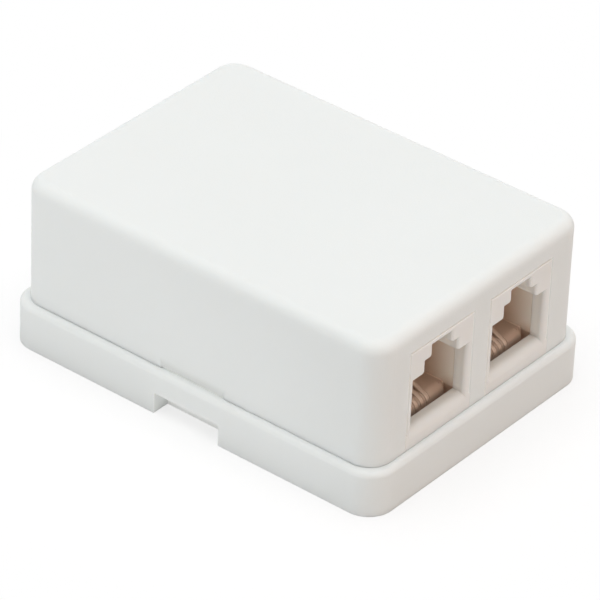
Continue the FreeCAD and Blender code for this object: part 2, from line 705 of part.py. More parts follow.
def build_contact(name, side, index):
    """Spring contact: a narrow strip bent round the carrier's nose, free end in the comb."""
    body = new_body("contact_%s_%d" % (name, index + 1))
    line = contact_line(side, index)
    bend = "(%s + Sizes.contact_seat_gap + Sizes.contact_thick / 2)" % CORE_RADIUS
    low_z = "(%s - %s)" % (NOSE_Z, bend)
    end_y = "(%s + Sizes.contact_reach)" % COMB_Y
    path = new_sketch(body, "YZ_Plane", line)
    angle = size("(@contact_angle * 1deg)")
    leave_y = "(%s - %s * sin(%s))" % (NOSE_Y, bend, angle)
    leave_z = "(%s + %s * cos(%s))" % (NOSE_Z, bend, angle)
    end_z = "(%s + (%s - %s) * tan(%s))" % (leave_z, end_y, leave_y, angle)
    front_y = "(%s - %s)" % (NOSE_Y, bend)
    points = {key: Vector(number(y), number(z), 0) for key, (y, z) in {
        "tail": (COMB_Y, low_z), "under": (NOSE_Y, low_z), "front": (front_y, NOSE_Z),
        "leave": (leave_y, leave_z), "end": (end_y, end_z)}.items()}
    tail = path.addGeometry(Part.LineSegment(points["tail"], points["under"]))
    bow = path.addGeometry(Part.Arc(points["under"], points["front"], points["leave"]))
    beam = path.addGeometry(Part.LineSegment(points["leave"], points["end"]))
    under_end = 1 if path.getPoint(bow, 1).distanceToPoint(points["under"]) < 1e-6 else 2
    path.addConstraint(Sketcher.Constraint("Tangent", tail, 2, bow, under_end))
    path.addConstraint(Sketcher.Constraint("Tangent", bow, 3 - under_end, beam, 1))
    place_point(path, tail, 1, COMB_Y, low_z)
    place_point(path, bow, 3, NOSE_Y, NOSE_Z)
    place_point(path, beam, 2, end_y, end_z)
    sweep_wire(body, path, COMB_Y, line, low_z, size("@contact_wide"), size("@contact_thick"))
    return body


def build_lead(name, side, index):
    """Insulated lead from the back of the carrier to one terminal, round a single bend."""
    body = new_body("lead_%s_%d" % (name, index + 1))
    inset = size("@lead_gap + @lead_bend + %d * @lead_pitch" % index)
    lane = "(%d * (%s - (%s)))" % (side, BARREL_MOUTH_X, inset)
    turn_y = terminal_places()[index]
    end_x = "(%d * (%s + Sizes.lead_in_barrel))" % (side, BARREL_MOUTH_X)
    bend_x = "(%s + %d * Sizes.lead_bend)" % (lane, side)
    bend_y = "(%s - Sizes.lead_bend)" % turn_y
    corner = 2 ** -0.5
    centre = Vector(number(bend_x), number(bend_y), 0)
    radius = number(size("@lead_bend"))
    crown = centre + Vector(-side * radius * corner, radius * corner, 0)
    path = new_sketch(body, "XY_Plane", LEAD_Z)
    points = [Vector(number(x), number(y), 0) for x, y in
              ((lane, BACK_Y), (lane, bend_y), (bend_x, turn_y), (end_x, turn_y))]
    run = path.addGeometry(Part.LineSegment(points[0], points[1]))
    bow = path.addGeometry(Part.Arc(points[1], crown, points[2]))
    reach = path.addGeometry(Part.LineSegment(points[2], points[3]))
    run_end = 1 if path.getPoint(bow, 1).distanceToPoint(points[1]) < 1e-6 else 2
    path.addConstraint(Sketcher.Constraint("Tangent", run, 2, bow, run_end))
    path.addConstraint(Sketcher.Constraint("Tangent", bow, 3 - run_end, reach, 1))
    place_point(path, run, 1, lane, BACK_Y)
    place_point(path, bow, 3, bend_x, bend_y)
    place_point(path, reach, 2, end_x, turn_y)
    sweep_wire(body, path, BACK_Y, lane, LEAD_Z, size("@lead_wire"), size("@lead_wire"))
    return body


def build_lug(name, side, index):
    """Spade lug: a flat fork under the screw and a crimp barrel towards the middle."""
    body = new_body("lug_%s_%d" % (name, index + 1))
    place = terminal_places()[index]

    def inward(distance):
        return "(%s - %d * %s)" % (terminal_x(side), side, size(distance))

    back, front = inward("-@lug_back"), inward("@lug_front")
    root = inward("(@lug_slot / 2)")
    wide, slot = size("@lug_wide / 2"), size("@lug_slot / 2")
    neck = size("@barrel_wide / 2")
    shoulder = inward("(@lug_front - @barrel_wide / 2)")
    sketch = new_sketch(body, "XY_Plane", BOSS_TOP_Z)
    outline = [(back, wide), (shoulder, wide), (front, neck), (front, "-" + neck),
               (shoulder, "-" + wide), (back, "-" + wide), (back, "-" + slot), (root, "-" + slot),
               (root, slot), (back, slot)]
    draw_polygon(sketch, [(x, offset_from(place, y)) for x, y in outline])
    add_pad(body, sketch, size("@lug_thick"))
    slot_end = number(root)
    add_fillet(body, size("(@lug_slot / 2 - @lug_slot_flat)"),
               lambda edge: is_straight(edge, Vector(0, 0, 1)) and abs(middle(edge).x - slot_end) < 1e-3)
    sketch = new_sketch(body, "YZ_Plane", front)
    draw_octagon(sketch, place, LEAD_Z, size("@barrel_wide"), size("@barrel_wide"))
    add_pad(body, sketch, size("@barrel_long"), backwards=side > 0)
    mouth = inward("(@lug_front + @barrel_long)")
    sketch = new_sketch(body, "YZ_Plane", mouth)
    draw_octagon(sketch, place, LEAD_Z, size("@barrel_hole"), size("@barrel_hole"))
    add_pocket(body, sketch, size("(@barrel_long - @barrel_end)"), backwards=side > 0)
    return body


def build_washer(name, side, index):
    """Square clamp washer between the lug and the screw head."""
    body = new_body("washer_%s_%d" % (name, index + 1))
    place = terminal_places()[index]
    centre = terminal_x(side)
    half = size("(@washer_wide / 2)")
    sketch = new_sketch(body, "XY_Plane", WASHER_Z)
    draw_rectangle(sketch, offset_from(centre, "-" + half), offset_from(centre, half),
                   offset_from(place, "-" + half), offset_from(place, half))
    add_pad(body, sketch, size("@washer_thick"))
    add_chamfer(body, size("@washer_corner"), lambda edge: is_straight(edge, Vector(0, 0, 1)))
    sketch = new_sketch(body, "XY_Plane", HEAD_Z)
    draw_circle(sketch, centre, place, size("@washer_hole"))
    add_pocket(body, sketch, size("@washer_thick"))
    return body


def build_screw(name, side, index):
    """Pan head terminal screw with a cross and slot drive."""
    body = new_body("screw_%s_%d" % (name, index + 1))
    place = terminal_places()[index]
    centre = terminal_x(side)
    sketch = new_sketch(body, "XY_Plane", HEAD_Z)
    draw_circle(sketch, centre, place, size("@head_wide"))
    add_pad(body, sketch, size("@head_high"))
    crown = number(offset_from(HEAD_Z, size("@head_high")))
    add_chamfer(body, size("@head_bevel"), lambda edge: lies_at(edge, "Z", crown))
    sketch = new_sketch(body, "XY_Plane", HEAD_Z)
    draw_circle(sketch, centre, place, size("@screw_core"))
    add_pad(body, sketch, size("@screw_long"), backwards=True)
    sketch = new_sketch(body, "XY_Plane", offset_from(HEAD_Z, size("@head_high")))
    long_half, short_half = size("(@drive_long / 2)"), size("(@drive_wide / 2)")
    cross = [(long_half, short_half), (short_half, short_half), (short_half, long_half)]
    outline = []
    for quarter in range(4):
        for x, y in cross:
            for turn in range(quarter):
                x, y = "(-%s)" % y, x
            outline.append((offset_from(centre, x), offset_from(place, y)))
    draw_polygon(sketch, outline)
    add_pocket(body, sketch, size("@drive_deep"))
    return body


pieces = [build_base(), build_cover()]
for port, direction in PORTS.items():
    pieces.append(build_housing(port, direction))
    pieces.append(build_carrier(port, direction))
    for position in range(CONTACTS_PER_JACK):
        for build_piece in (build_contact, build_lead, build_lug, build_washer, build_screw):
            pieces.append(build_piece(port, direction, position))

doc.recompute()
for thing in doc.Objects:
    if "Invalid" in thing.State or "Error" in thing.State:
        raise ValueError("failed to build " + thing.Label)
for piece in pieces:
    if piece.Shape.isNull() or not piece.Shape.isValid() or len(piece.Shape.Solids) != 1:
        raise ValueError("bad shape in " + piece.Label)

os.makedirs("parts", exist_ok=True)
for piece in pieces:
    piece.Shape.exportStep(os.path.join("parts", piece.Label + ".step"))
print("wrote", len(pieces), "pieces")
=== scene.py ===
"""Looks for a two-port surface mount jack box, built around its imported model, in metres."""

import math

import bmesh
import bpy
from mathutils import Matrix, Vector


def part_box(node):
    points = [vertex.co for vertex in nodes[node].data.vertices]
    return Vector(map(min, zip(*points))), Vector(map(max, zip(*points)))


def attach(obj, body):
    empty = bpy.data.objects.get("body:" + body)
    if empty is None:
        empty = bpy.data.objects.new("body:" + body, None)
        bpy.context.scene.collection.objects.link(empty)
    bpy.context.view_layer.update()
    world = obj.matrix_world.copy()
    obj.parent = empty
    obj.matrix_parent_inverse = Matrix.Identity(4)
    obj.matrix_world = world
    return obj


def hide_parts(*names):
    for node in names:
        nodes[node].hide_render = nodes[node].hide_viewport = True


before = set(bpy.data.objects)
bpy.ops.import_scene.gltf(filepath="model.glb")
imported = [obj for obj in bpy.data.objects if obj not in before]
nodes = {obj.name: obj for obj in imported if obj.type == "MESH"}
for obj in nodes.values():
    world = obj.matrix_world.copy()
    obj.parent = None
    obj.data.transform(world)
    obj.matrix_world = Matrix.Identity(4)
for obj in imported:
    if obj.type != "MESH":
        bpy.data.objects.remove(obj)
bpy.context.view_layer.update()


# ---- Camera ----
# The box lies on its back and is seen from above the corner between its left side and its
# sockets, through a long lens half a metre away, tipped a little to one side.
camera = bpy.data.objects.new("camera", bpy.data.cameras.new("camera"))
bpy.context.scene.collection.objects.link(camera)
bpy.context.scene.camera = camera
camera.data.lens = 284.7
camera.data.clip_start = 0.01
camera.data.clip_end = 20.0
camera_bearing, camera_rise, camera_roll = -52.166, 33.828, 2.488
camera_away = 0.5597
looked_at = Vector((0.00303, 0.00209, 0.00548))
camera.matrix_world = (Matrix.Translation(looked_at)
                       @ Matrix.Rotation(math.radians(camera_bearing), 4, "Z")
                       @ Matrix.Rotation(math.radians(90 - camera_rise), 4, "X")
                       @ Matrix.Rotation(math.radians(camera_roll), 4, "Z")
                       @ Matrix.Translation((0, 0, camera_away)))


# ---- Cover and base ----
# Both are moulded in the same white styrene, with a finely spark-eroded outside that is just
# short of matt. The ejector pins have left round marks inside, where nobody sees them.
class Channel:
    """One output in a material's node tree. Arithmetic on it adds Math nodes."""

    def __init__(self, socket):
        self.socket = socket

    def node(self, kind, settings=None, inputs=None, output=0):
        """Add a node beside this one: first its settings, then its sockets' values or links."""
        tree = self.socket.id_data
        made = tree.nodes.new(kind)
        for name, setting in (settings or {}).items():
            setattr(made, name, setting)
        plug_in(made, inputs or {})
        return Channel(made.outputs[output])

    def math(self, operation, *values):
        """A Math node on these values, whichever of them are channels."""
        return self.node("ShaderNodeMath", {"operation": operation}, dict(enumerate(values)))

    def __add__(self, other):
        return self.math("ADD", self, other)

    def __sub__(self, other):
        return self.math("SUBTRACT", self, other)

    def __rsub__(self, other):
        return self.math("SUBTRACT", other, self)

    def __mul__(self, other):
        return self.math("MULTIPLY", self, other)

    __radd__ = __add__
    __rmul__ = __mul__

    def part(self, axis):
        """One coordinate of a place."""
        return self.node("ShaderNodeSeparateXYZ", {}, {"Vector": self}, output=axis)

    def length(self):
        """How far a place is from the origin."""
        return self.node("ShaderNodeVectorMath", {"operation": "LENGTH"}, {0: self}, output="Value")

    def __abs__(self):
        return self.math("ABSOLUTE", self)

    def larger(self, other):
        return self.math("MAXIMUM", self, other)

    def rise(self, low, high):
        """Smoothly from 0 where the channel is low to 1 where it is high."""
        return self.node("ShaderNodeMapRange", {"interpolation_type": "SMOOTHSTEP"},
                         {"Value": self, "From Min": low, "From Max": high})

    def fall(self, low, high):
        """Smoothly from 1 where the channel is low to 0 where it is high."""
        return 1 - self.rise(low, high)

    def tint(self, colour, other):
        """One colour where the channel is 0, the other where it is 1."""
        return self.node("ShaderNodeMix", {"data_type": "RGBA"}, {0: self, 6: colour, 7: other}, output=2)

    def noise(self, per_metre, detail=2.0, stretch=(1, 1, 1)):
        """Noise over the object, with that many lumps in a metre."""
        return self.node("ShaderNodeTexNoise", {"noise_dimensions": "3D"},
                         {"Vector": self.vector("MULTIPLY", stretch), "Scale": per_metre, "Detail": detail})

    def vector(self, operation, value):
        """A Vector Math node on this channel and a value."""
        return self.node("ShaderNodeVectorMath", {"operation": operation}, {0: self, 1: value})

    def bump(self, height, normal=None):
        """A normal from this channel as a relief of that height in metres."""
        inputs = {"Height": self, "Distance": height}
        if normal:
            inputs["Normal"] = normal
        return self.node("ShaderNodeBump", {}, inputs)


def plug_in(node, inputs):
    """Link the channels to a node's sockets, and set the plain values on them."""
    for name, value in inputs.items():
        if isinstance(value, Channel):
            node.id_data.links.new(value.socket, node.inputs[name])
        else:
            node.inputs[name].default_value = value


def new_finish(name, **fixed):
    """A material and its place channel. What is the same all over is set on its shader."""
    material = bpy.data.materials.new(name)
    material.use_nodes = True
    tree = material.node_tree
    plug_in(tree.nodes["Principled BSDF"],
            {socket.replace("_", " "): value for socket, value in fixed.items()})
    return material, Channel(tree.nodes.new("ShaderNodeTexCoord").outputs["Object"])


def finish_with(material, **channels):
    """Plug what changes over the surface into the material's shader."""
    plug_in(material.node_tree.nodes["Principled BSDF"],
            {socket.replace("_", " "): channel for socket, channel in channels.items()})


def cover_with(material, *names):
    """Give CAD nodes a material in place of their plain one."""
    for name in names:
        nodes[name].material_slots[0].material = material


moulding, place = new_finish("moulding", Specular_IOR_Level=0.30, Emission_Strength=1.0,
                             Subsurface_Weight=0.6, Subsurface_Radius=(1.0, 0.95, 0.9),
                             Subsurface_Scale=0.0009)
flow = place.noise(38, detail=3.0).rise(0.3, 0.7)
grain = place.noise(9000, detail=1.5)
across, along, height = abs(place.part("X")), place.part("Y"), place.part("Z")

# a shallow thumbnail scoop runs up from the slot in each long side's lower edge, as a bump; its darker colour
# there is painted shade
rim_high, side_x, slot_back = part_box("cover")[0].z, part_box("cover")[1].x, 0.0183
scoop_high, scoop_half, scoop_fade = 0.0016, 0.0046, 0.0004
beyond_scoop = abs(along).rise(scoop_half - scoop_fade, scoop_half + scoop_fade)
over_scoop = height.rise(rim_high, rim_high + scoop_high)
on_side = height.rise(rim_high, rim_high + 0.00002) * across.rise(slot_back - 0.0003, slot_back - 0.0002)
flush = beyond_scoop.larger(over_scoop.larger(1 - on_side))

# painted light: the slot, the cable entry and the gaps round the jacks glow faintly, lifting their shade
slot_top = 0.00615
in_slot = height.rise(rim_high + 0.00001, rim_high + 0.00003)
in_slot = in_slot * height.fall(slot_top + 0.00005, slot_top + 0.00015)
in_slot = in_slot * across.rise(slot_back - 0.0004, slot_back - 0.0003)
in_slot = in_slot * across.fall(side_x - 0.00025, side_x - 0.0001)
in_slot = in_slot * abs(along).fall(scoop_half, scoop_half + 0.00002)
entry_high, entry_half, entry_back = 0.0028, 0.00485, 0.0150
in_entry = height.fall(entry_high + 0.00001, entry_high + 0.00003)
in_entry = in_entry * across.rise(entry_back, entry_back + 0.0002)
in_entry = in_entry * abs(along).fall(entry_half - 0.00005, entry_half - 0.00002)
jack_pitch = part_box("jack_housing_right")[0].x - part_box("jack_housing_left")[0].x
face_y, window_half, window_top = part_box("cover")[0].y, 0.005875, 0.01918
window_side = abs(abs(across - jack_pitch / 2) - window_half).fall(0.000006, 0.000012)
in_window = window_side * along.rise(face_y + 0.000005, face_y + 0.00001)
in_window = in_window * along.fall(face_y + 0.001, face_y + 0.0015)
in_window = in_window * height.rise(rim_high + 0.00005, rim_high + 0.0001)
in_window = in_window * height.fall(window_top - 0.00003, window_top + 0.00002)
painted_glow = 0.45 * in_slot + 0.16 * in_entry + 0.17 * in_window


def pin_marks(pins_across, pins_along, radius, low, high):
    """1 in four round marks, at plus and minus two distances, on a face between two heights."""
    from_pin = place.vector("ABSOLUTE", (0, 0, 0)).vector("SUBTRACT", (pins_across, pins_along, 0))
    disc = from_pin.vector("MULTIPLY", (1, 1, 0)).length().fall(radius - 0.0001, radius)
    return disc * height.rise(low, low + 0.0001) * height.fall(high, high + 0.0001)


pins_in_cover = pin_marks(0.0115, 0.0185, radius=0.0021, low=0.0205, high=0.0209)
pins_in_base = pin_marks(0.0062, 0.0228, radius=0.0016, low=0.0016, high=0.0019)
pins = pins_in_cover + pins_in_base
plain_white = flow.tint((0.818, 0.840, 0.830, 1), (0.806, 0.828, 0.817, 1))
# the scoop's darker base colour is painted shade, and the emission is painted glow
finish_with(moulding,
            Base_Color=flush.tint((0.690, 0.705, 0.690, 1), plain_white),
            Roughness=0.52 + 0.10 * flow - 0.15 * pins,
            Emission_Color=painted_glow.tint((0, 0, 0, 1), (1, 0.98, 0.95, 1)),
            Normal=grain.bump(0.000012, normal=(1 - pins).bump(0.00006, normal=flush.bump(0.00020))))
cover_with(moulding, "cover", "base")


# ---- Jack housings ----
# Each jack is a separate white housing with a smoother face, moulded in a slightly warmer
# white and held between the base's foot and the cover's window.
jack_white, place = new_finish("jack_white", Specular_IOR_Level=0.35, Emission_Strength=1.0,
                               Subsurface_Weight=0.6, Subsurface_Radius=(1.0, 0.9, 0.8),
                               Subsurface_Scale=0.0009)
flow = place.noise(90, detail=3.0).rise(0.3, 0.7)
along, height = place.part("Y"), place.part("Z")
off_middle = abs(abs(place.part("X")) - jack_pitch / 2)

# inside its mouth the white is painted lighter and warmer, as painted bounce light from the carrier, and the
# rounded sill below it is painted darker, as painted shade
sill_top = 0.00825
inwards = along.rise(face_y + 0.0001, face_y + 0.0015)
over_sill = height.rise(sill_top + 0.00005, sill_top + 0.00065)
mouth_painted_light_and_shade = over_sill.tint((0.750, 0.720, 0.670, 1), (0.960, 0.925, 0.865, 1))
face_white = flow.tint((0.822, 0.812, 0.790, 1), (0.810, 0.798, 0.774, 1))

# painted light: the front plate's edges and the mouth's walls glow faintly
plate_half, plate_top = 0.00577, 0.01897
plate_edge = off_middle.rise(plate_half - 0.00002, plate_half)
plate_edge = plate_edge.larger(height.rise(plate_top - 0.00002, plate_top))
in_gap = plate_edge * along.rise(face_y + 0.000005, face_y + 0.00001)
in_gap = in_gap * along.fall(face_y + 0.0003, face_y + 0.0006)
painted_glow = 0.10 * in_gap + 0.03 * inwards * over_sill
finish_with(jack_white,
            Base_Color=inwards.tint(face_white, mouth_painted_light_and_shade),
            Emission_Color=painted_glow.tint((0, 0, 0, 1), (1, 0.88, 0.76, 1)),
            Roughness=0.34 + 0.10 * flow,
            Normal=place.noise(6000).bump(0.000006))
cover_with(jack_white, "jack_housing_left", "jack_housing_right")


# ---- Contact carriers ----
# An amber nylon insert in each housing carries the nose that the contacts bend round. Its
# cheeks are painted cream towards the mouth and brown deeper in and lower down, as painted light and shade.
amber, place = new_finish("amber_nylon", Specular_IOR_Level=0.4, Emission_Strength=1.0,
                          Subsurface_Weight=0.2, Subsurface_Radius=(1.0, 0.6, 0.4),
                          Subsurface_Scale=0.001)
flow = place.noise(300, detail=3.0).rise(0.3, 0.7)
cheek = abs(abs(place.part("X")) - jack_pitch / 2).rise(0.0046, 0.0048)
inwards = place.part("Y").rise(face_y + 0.0015, face_y + 0.0065)
inwards = inwards.larger(place.part("Z").fall(0.0072, 0.0105))
nose_amber = flow.tint((0.59, 0.435, 0.34, 1), (0.54, 0.39, 0.30, 1))
# painted light and shade on the cheeks: pale near the mouth, brown deeper in and lower down
cheek_painted_shade = inwards.tint((0.95, 0.865, 0.765, 1), (0.73, 0.52, 0.38, 1))
# painted light: the cheeks glow faintly near the mouth
painted_glow = 0.02 * cheek * (1 - inwards)
finish_with(amber,
            Base_Color=cheek.tint(nose_amber, cheek_painted_shade),
            Emission_Color=painted_glow.tint((0, 0, 0, 1), (1, 0.72, 0.50, 1)),
            Roughness=0.45 + 0.10 * flow,
            Normal=place.noise(5000).bump(0.00001))
cover_with(amber, "contact_carrier_left", "contact_carrier_right")


# ---- Contacts ----
# Four gold-plated bronze springs in each jack run under the nose, bend round its front and
# come back up at a slant, with their free ends in the slots of the comb.
contact_thick, contact_bend, contact_tail = 0.0004, 0.00103, 0.0088
contact_slant, bend_steps = math.radians(24), 18
strip_corner, strip_tip = 0.00012, 0.7


def sweep(name, path, across, section, tip=1.0):
    """A solid strip or wire: a section carried along a path in one plane, which across is square to."""
    mesh = bpy.data.meshes.new(name)
    points, across = [], Vector(across)
    for index, point in enumerate(path):
        ahead = (path[min(index + 1, len(path) - 1)] - path[max(index - 1, 0)]).normalized()
        outwards = across.cross(ahead)
        scale = tip if index == len(path) - 1 else 1.0
        points += [point + scale * (along * across + out * outwards) for along, out in section]
    count = len(section)
    faces = []
    for ring in range(0, len(points) - count, count):
        for side in range(count):
            following = (side + 1) % count
            faces.append((ring + side, ring + count + side, ring + count + following, ring + following))
    faces += [tuple(range(count)), tuple(reversed(range(len(points) - count, len(points))))]
    mesh.from_pydata(points, [], faces)
    mesh.update()
    piece = bpy.data.objects.new(name, mesh)
    bpy.context.scene.collection.objects.link(piece)
    for face in mesh.polygons:
        face.use_smooth = len(face.vertices) == 4
    return piece


def stand_in(piece, node, material):
    """Let a piece take the place of one node of the base, in this material."""
    piece.data.materials.append(material)
    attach(piece, "base")
    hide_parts(node)


def rounded_strip(wide, thick, corner):
    """A strip's section, with a quarter circle of four points at each corner."""
    section = []
    for turn, (side, level) in enumerate(((1, 1), (-1, 1), (-1, -1), (1, -1))):
        for step in range(4):
            angle = math.radians(90 * turn + 30 * step)
            section.append((side * (wide / 2 - corner) + corner * math.cos(angle),
                            level * (thick / 2 - corner) + corner * math.sin(angle)))
    return section


gold, place = new_finish("gold_plate", Metallic=0.55, Specular_IOR_Level=0.4)
rub = place.noise(900, detail=3.0, stretch=(3, 1, 1)).rise(0.35, 0.7)
finish_with(gold,
            Base_Color=rub.tint((0.66, 0.505, 0.405, 1), (0.60, 0.45, 0.355, 1)),
            Roughness=0.56 + 0.12 * rub,
            Normal=place.noise(7000, stretch=(4, 1, 1)).bump(0.000004))

for node in sorted(name for name in nodes if name.startswith("contact_") and "carrier" not in name):
    low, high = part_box(node)
    middle_x = (low.x + high.x) / 2
    reach = contact_bend + contact_thick / 2
    nose = Vector((middle_x, low.y + reach, low.z + reach))
    path = [nose + Vector((0, contact_tail * (1 - share), -contact_bend)) for share in (0, 0.25, 0.5, 0.75)]
    for step in range(bend_steps + 1):
        angle = step / bend_steps * (math.pi - contact_slant)
        path.append(nose + contact_bend * Vector((0, -math.sin(angle), -math.cos(angle))))
    leave = path[-1]
    ahead = Vector((0, math.cos(contact_slant), math.sin(contact_slant)))
    slant_long = (high.y - leave.y) / ahead.y - contact_thick / 2 * math.tan(contact_slant)
    path += [leave + ahead * slant_long * share for share in (0.25, 0.5, 0.75, 0.985, 1.0)]
    section = rounded_strip(high.x - low.x, contact_thick, strip_corner)
    spring = sweep("spring_" + node, path, (1, 0, 0), section, tip=strip_tip)
    stand_in(spring, node, gold)


# ---- Leads ----
# Four insulated copper leads run back from each jack to its terminals, each round one bend and
# into the barrel of its lug. Their colours are the usual four of a telephone line.
lead_bend, lead_sides = 0.001, 20
insulation_colours = {"black": (0.028, 0.027, 0.027), "red": (0.56, 0.032, 0.030),
                      "green": (0.030, 0.30, 0.095), "yellow": (0.83, 0.62, 0.055)}

for index, (colour, shade) in enumerate(insulation_colours.items()):
    insulation, place = new_finish(colour + "_pvc", Specular_IOR_Level=0.5)
    patch = place.noise(400, detail=3.0).rise(0.3, 0.7)
    finish_with(insulation,
                Base_Color=patch.tint((*shade, 1), (*(0.88 * level for level in shade), 1)),
                Roughness=0.30 + 0.16 * patch,
                Normal=place.noise(2600, detail=3.0).bump(0.00001))
    for side in ("left", "right"):
        node = "lead_%s_%d" % (side, index + 1)
        low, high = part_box(node)
        radius = (high.z - low.z) / 2
        outwards = 1 if side == "right" else -1
        lane_x, end_x = (low.x + radius, high.x) if side == "right" else (high.x - radius, low.x)
        height, turn_y = (low.z + high.z) / 2, high.y - radius
        centre = Vector((lane_x + outwards * lead_bend, turn_y - lead_bend, height))
        path = [Vector((lane_x, low.y, height)).lerp(Vector((lane_x, centre.y, height)), share)
                for share in (0, 0.25, 0.5, 0.75)]
        for step in range(13):
            angle = math.radians(7.5 * step)
            path.append(centre + lead_bend * Vector((-outwards * math.cos(angle), math.sin(angle), 0)))
        path += [path[-1].lerp(Vector((end_x, turn_y, height)), share) for share in (0.5, 1.0)]
        angles = [math.tau * step / lead_sides for step in range(lead_sides)]
        ring = [(radius * math.cos(angle), radius * math.sin(angle)) for angle in angles]
        wire = sweep("wire_" + node, path, (0, 0, 1), ring)
        stand_in(wire, node, insulation)


# ---- Lugs ----
# Each lead ends in a fork lug stamped from tinned brass strip, with a barrel rolled at its neck
# and crimped on the lead. The fork is clamped under the terminal's washer.
lug_thick, lug_edge = 0.0005, 0.00007
fork_back, fork_front, fork_shoulder, fork_half = 0.0023, 0.0029, 0.00205, 0.0025
slot_half, slot_centre, slot_reach = 0.00155, 0.00005, 0.97
neck_half, barrel_hole, barrel_long = 0.00085, 0.00052, 0.0022


def rounded(corners):
    """The outline through some corners, each given with the radius that rounds it off."""
    outline = []
    for index, (x, y, radius) in enumerate(corners):
        corner = Vector((x, y))
        before, after = Vector(corners[index - 1][:2]), Vector(corners[(index + 1) % len(corners)][:2])
        start = corner + (before - corner).normalized() * radius
        stop = corner + (after - corner).normalized() * radius
        for share in ((0, 0.25, 0.5, 0.75, 1) if radius else (0.5,)):
            outline.append(start.lerp(corner, share).lerp(corner.lerp(stop, share), share))
    return outline


def stamp(shape, outline, low, high, edge):
    """Add a flat plate with that outline between two heights, its edges eased."""
    base = [shape.verts.new((point.x, point.y, low)) for point in outline]
    plate = shape.faces.new(base)
    pulled = bmesh.ops.extrude_face_region(shape, geom=[plate])["geom"]
    top = [vert for vert in pulled if isinstance(vert, bmesh.types.BMVert)]
    bmesh.ops.translate(shape, verts=top, vec=(0, 0, high - low))
    rims = {link for vert in base + top for link in vert.link_edges
            if abs(link.verts[0].co.z - link.verts[1].co.z) < 1e-7}
    bmesh.ops.bevel(shape, geom=list(rims), offset=edge, segments=2, affect="EDGES", profile=0.6)


def loft(shape, rings):
    """Add a skin through rings of points, open at both ends."""
    skin = [[shape.verts.new(point) for point in ring] for ring in rings]
    for ring, following in zip(skin, skin[1:]):
        for index in range(len(ring)):
            after = (index + 1) % len(ring)
            shape.faces.new((ring[index], following[index], following[after], ring[after]))


def finished_piece(name, shape, place, smooth_to=35):
    """A piece from a shape, set in its place and shaded smooth up to an angle."""
    bmesh.ops.recalc_face_normals(shape, faces=shape.faces[:])
    mesh = bpy.data.meshes.new(name)
    shape.to_mesh(mesh)
    shape.free()
    mesh.transform(place)
    for face in mesh.polygons:
        face.use_smooth = True
    mesh.set_sharp_from_angle(angle=math.radians(smooth_to))
    piece = bpy.data.objects.new(name, mesh)
    bpy.context.scene.collection.objects.link(piece)
    return piece


fork = rounded([(-fork_back, -fork_half, 0.0005), (fork_shoulder, -fork_half, 0.0009),
                (fork_front, -neck_half, 0), (fork_front, neck_half, 0),
                (fork_shoulder, fork_half, 0.0009), (-fork_back, fork_half, 0.0005),
                (-fork_back, slot_half, 0.0003), (-0.0002, slot_half, 0)])
for step in range(13):
    angle = math.radians(15 * step)
    fork.append(Vector((slot_centre + slot_reach * slot_half * math.sin(angle), slot_half * math.cos(angle))))
fork += rounded([(-0.0002, -slot_half, 0), (-fork_back, -slot_half, 0.0003),
                 (-fork_back, -fork_half, 0)])[:-1]


def barrel_ring(along, radius, middle, flat=1.0, dent=0.0):
    """A ring round the lead, flattened or pressed in from above."""
    ring = []
    for step in range(28):
        angle = math.tau * step / 28
        press = dent * max(0.0, math.sin(angle)) ** 3
        ring.append((along, radius * math.cos(angle), middle + radius * flat * math.sin(angle) - press))
    return ring


tin, place = new_finish("tinned_brass", Metallic=1.0)
dull = place.noise(700, detail=4.0).rise(0.35, 0.7)
finish_with(tin,
            Base_Color=dull.tint((0.74, 0.73, 0.69, 1), (0.62, 0.60, 0.55, 1)),
            Roughness=0.34 + 0.18 * dull,
            Normal=place.noise(3000, detail=3.0).bump(0.000012))

barrel_lip = 0.00008
crimp = ((0.0002, 0.96, 0), (0.0005, 1.0, 0), (0.0008, 0.98, 0.00016), (0.0011, 0.96, 0.00024),
         (0.0014, 0.98, 0.00016), (0.0017, 1.0, 0))
for side in ("left", "right"):
    for number in "1234":
        node = "lug_%s_%s" % (side, number)
        low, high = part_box(node)
        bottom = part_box("washer_%s_%s" % (side, number))[0].z - lug_thick
        height = (low.z + high.z) / 2 - bottom
        shape = bmesh.new()
        stamp(shape, fork, 0, lug_thick, lug_edge)
        half_thick, reach = lug_thick / 2, fork_front + barrel_long
        rings = [barrel_ring(fork_front - 0.0006, neck_half, half_thick, 0.3),
                 barrel_ring(fork_front - 0.0002, neck_half, half_thick, 0.45)]
        for past_fork, flat, dent in crimp:
            rings.append(barrel_ring(fork_front + past_fork, neck_half, height, flat, dent))
        rings += [barrel_ring(reach - barrel_lip, neck_half, height),
                  barrel_ring(reach, neck_half - barrel_lip, height),
                  barrel_ring(reach, barrel_hole + barrel_lip / 2, height),
                  barrel_ring(reach - 0.0001, barrel_hole, height),
                  barrel_ring(fork_front + 0.0002, barrel_hole, height)]
        loft(shape, rings)
        origin_x = low.x + fork_back if side == "left" else high.x - fork_back
        place_of_lug = (Matrix.Translation((origin_x, (low.y + high.y) / 2, bottom))
                        @ Matrix.Rotation(0 if side == "left" else math.pi, 4, "Z"))
        stand_in(finished_piece("fork_" + node, shape, place_of_lug), node, tin)


# ---- Terminal screws and washers ----
# A zinc-plated pan head screw with a cross recess and a square washer clamp each fork lug on
# its boss. The screw is cold headed, and its thread is rolled.
head_profile = ((0.00233, 0), (0.00247, 0.0001), (0.0025, 0.0003), (0.0025, 0.00078),
                (0.00244, 0.00115), (0.00224, 0.00147), (0.0019, 0.00168), (0.00145, 0.00181),
                (0.0009, 0.00188), (0.0004, 0.0019))
crown = head_profile[-1][1]
drive_long, drive_wide, drive_deep = 0.0030, 0.00075, 0.0010
shank_long, thread_pitch, thread_high, core_half = 0.0048, 0.0008, 0.0002, 0.0010


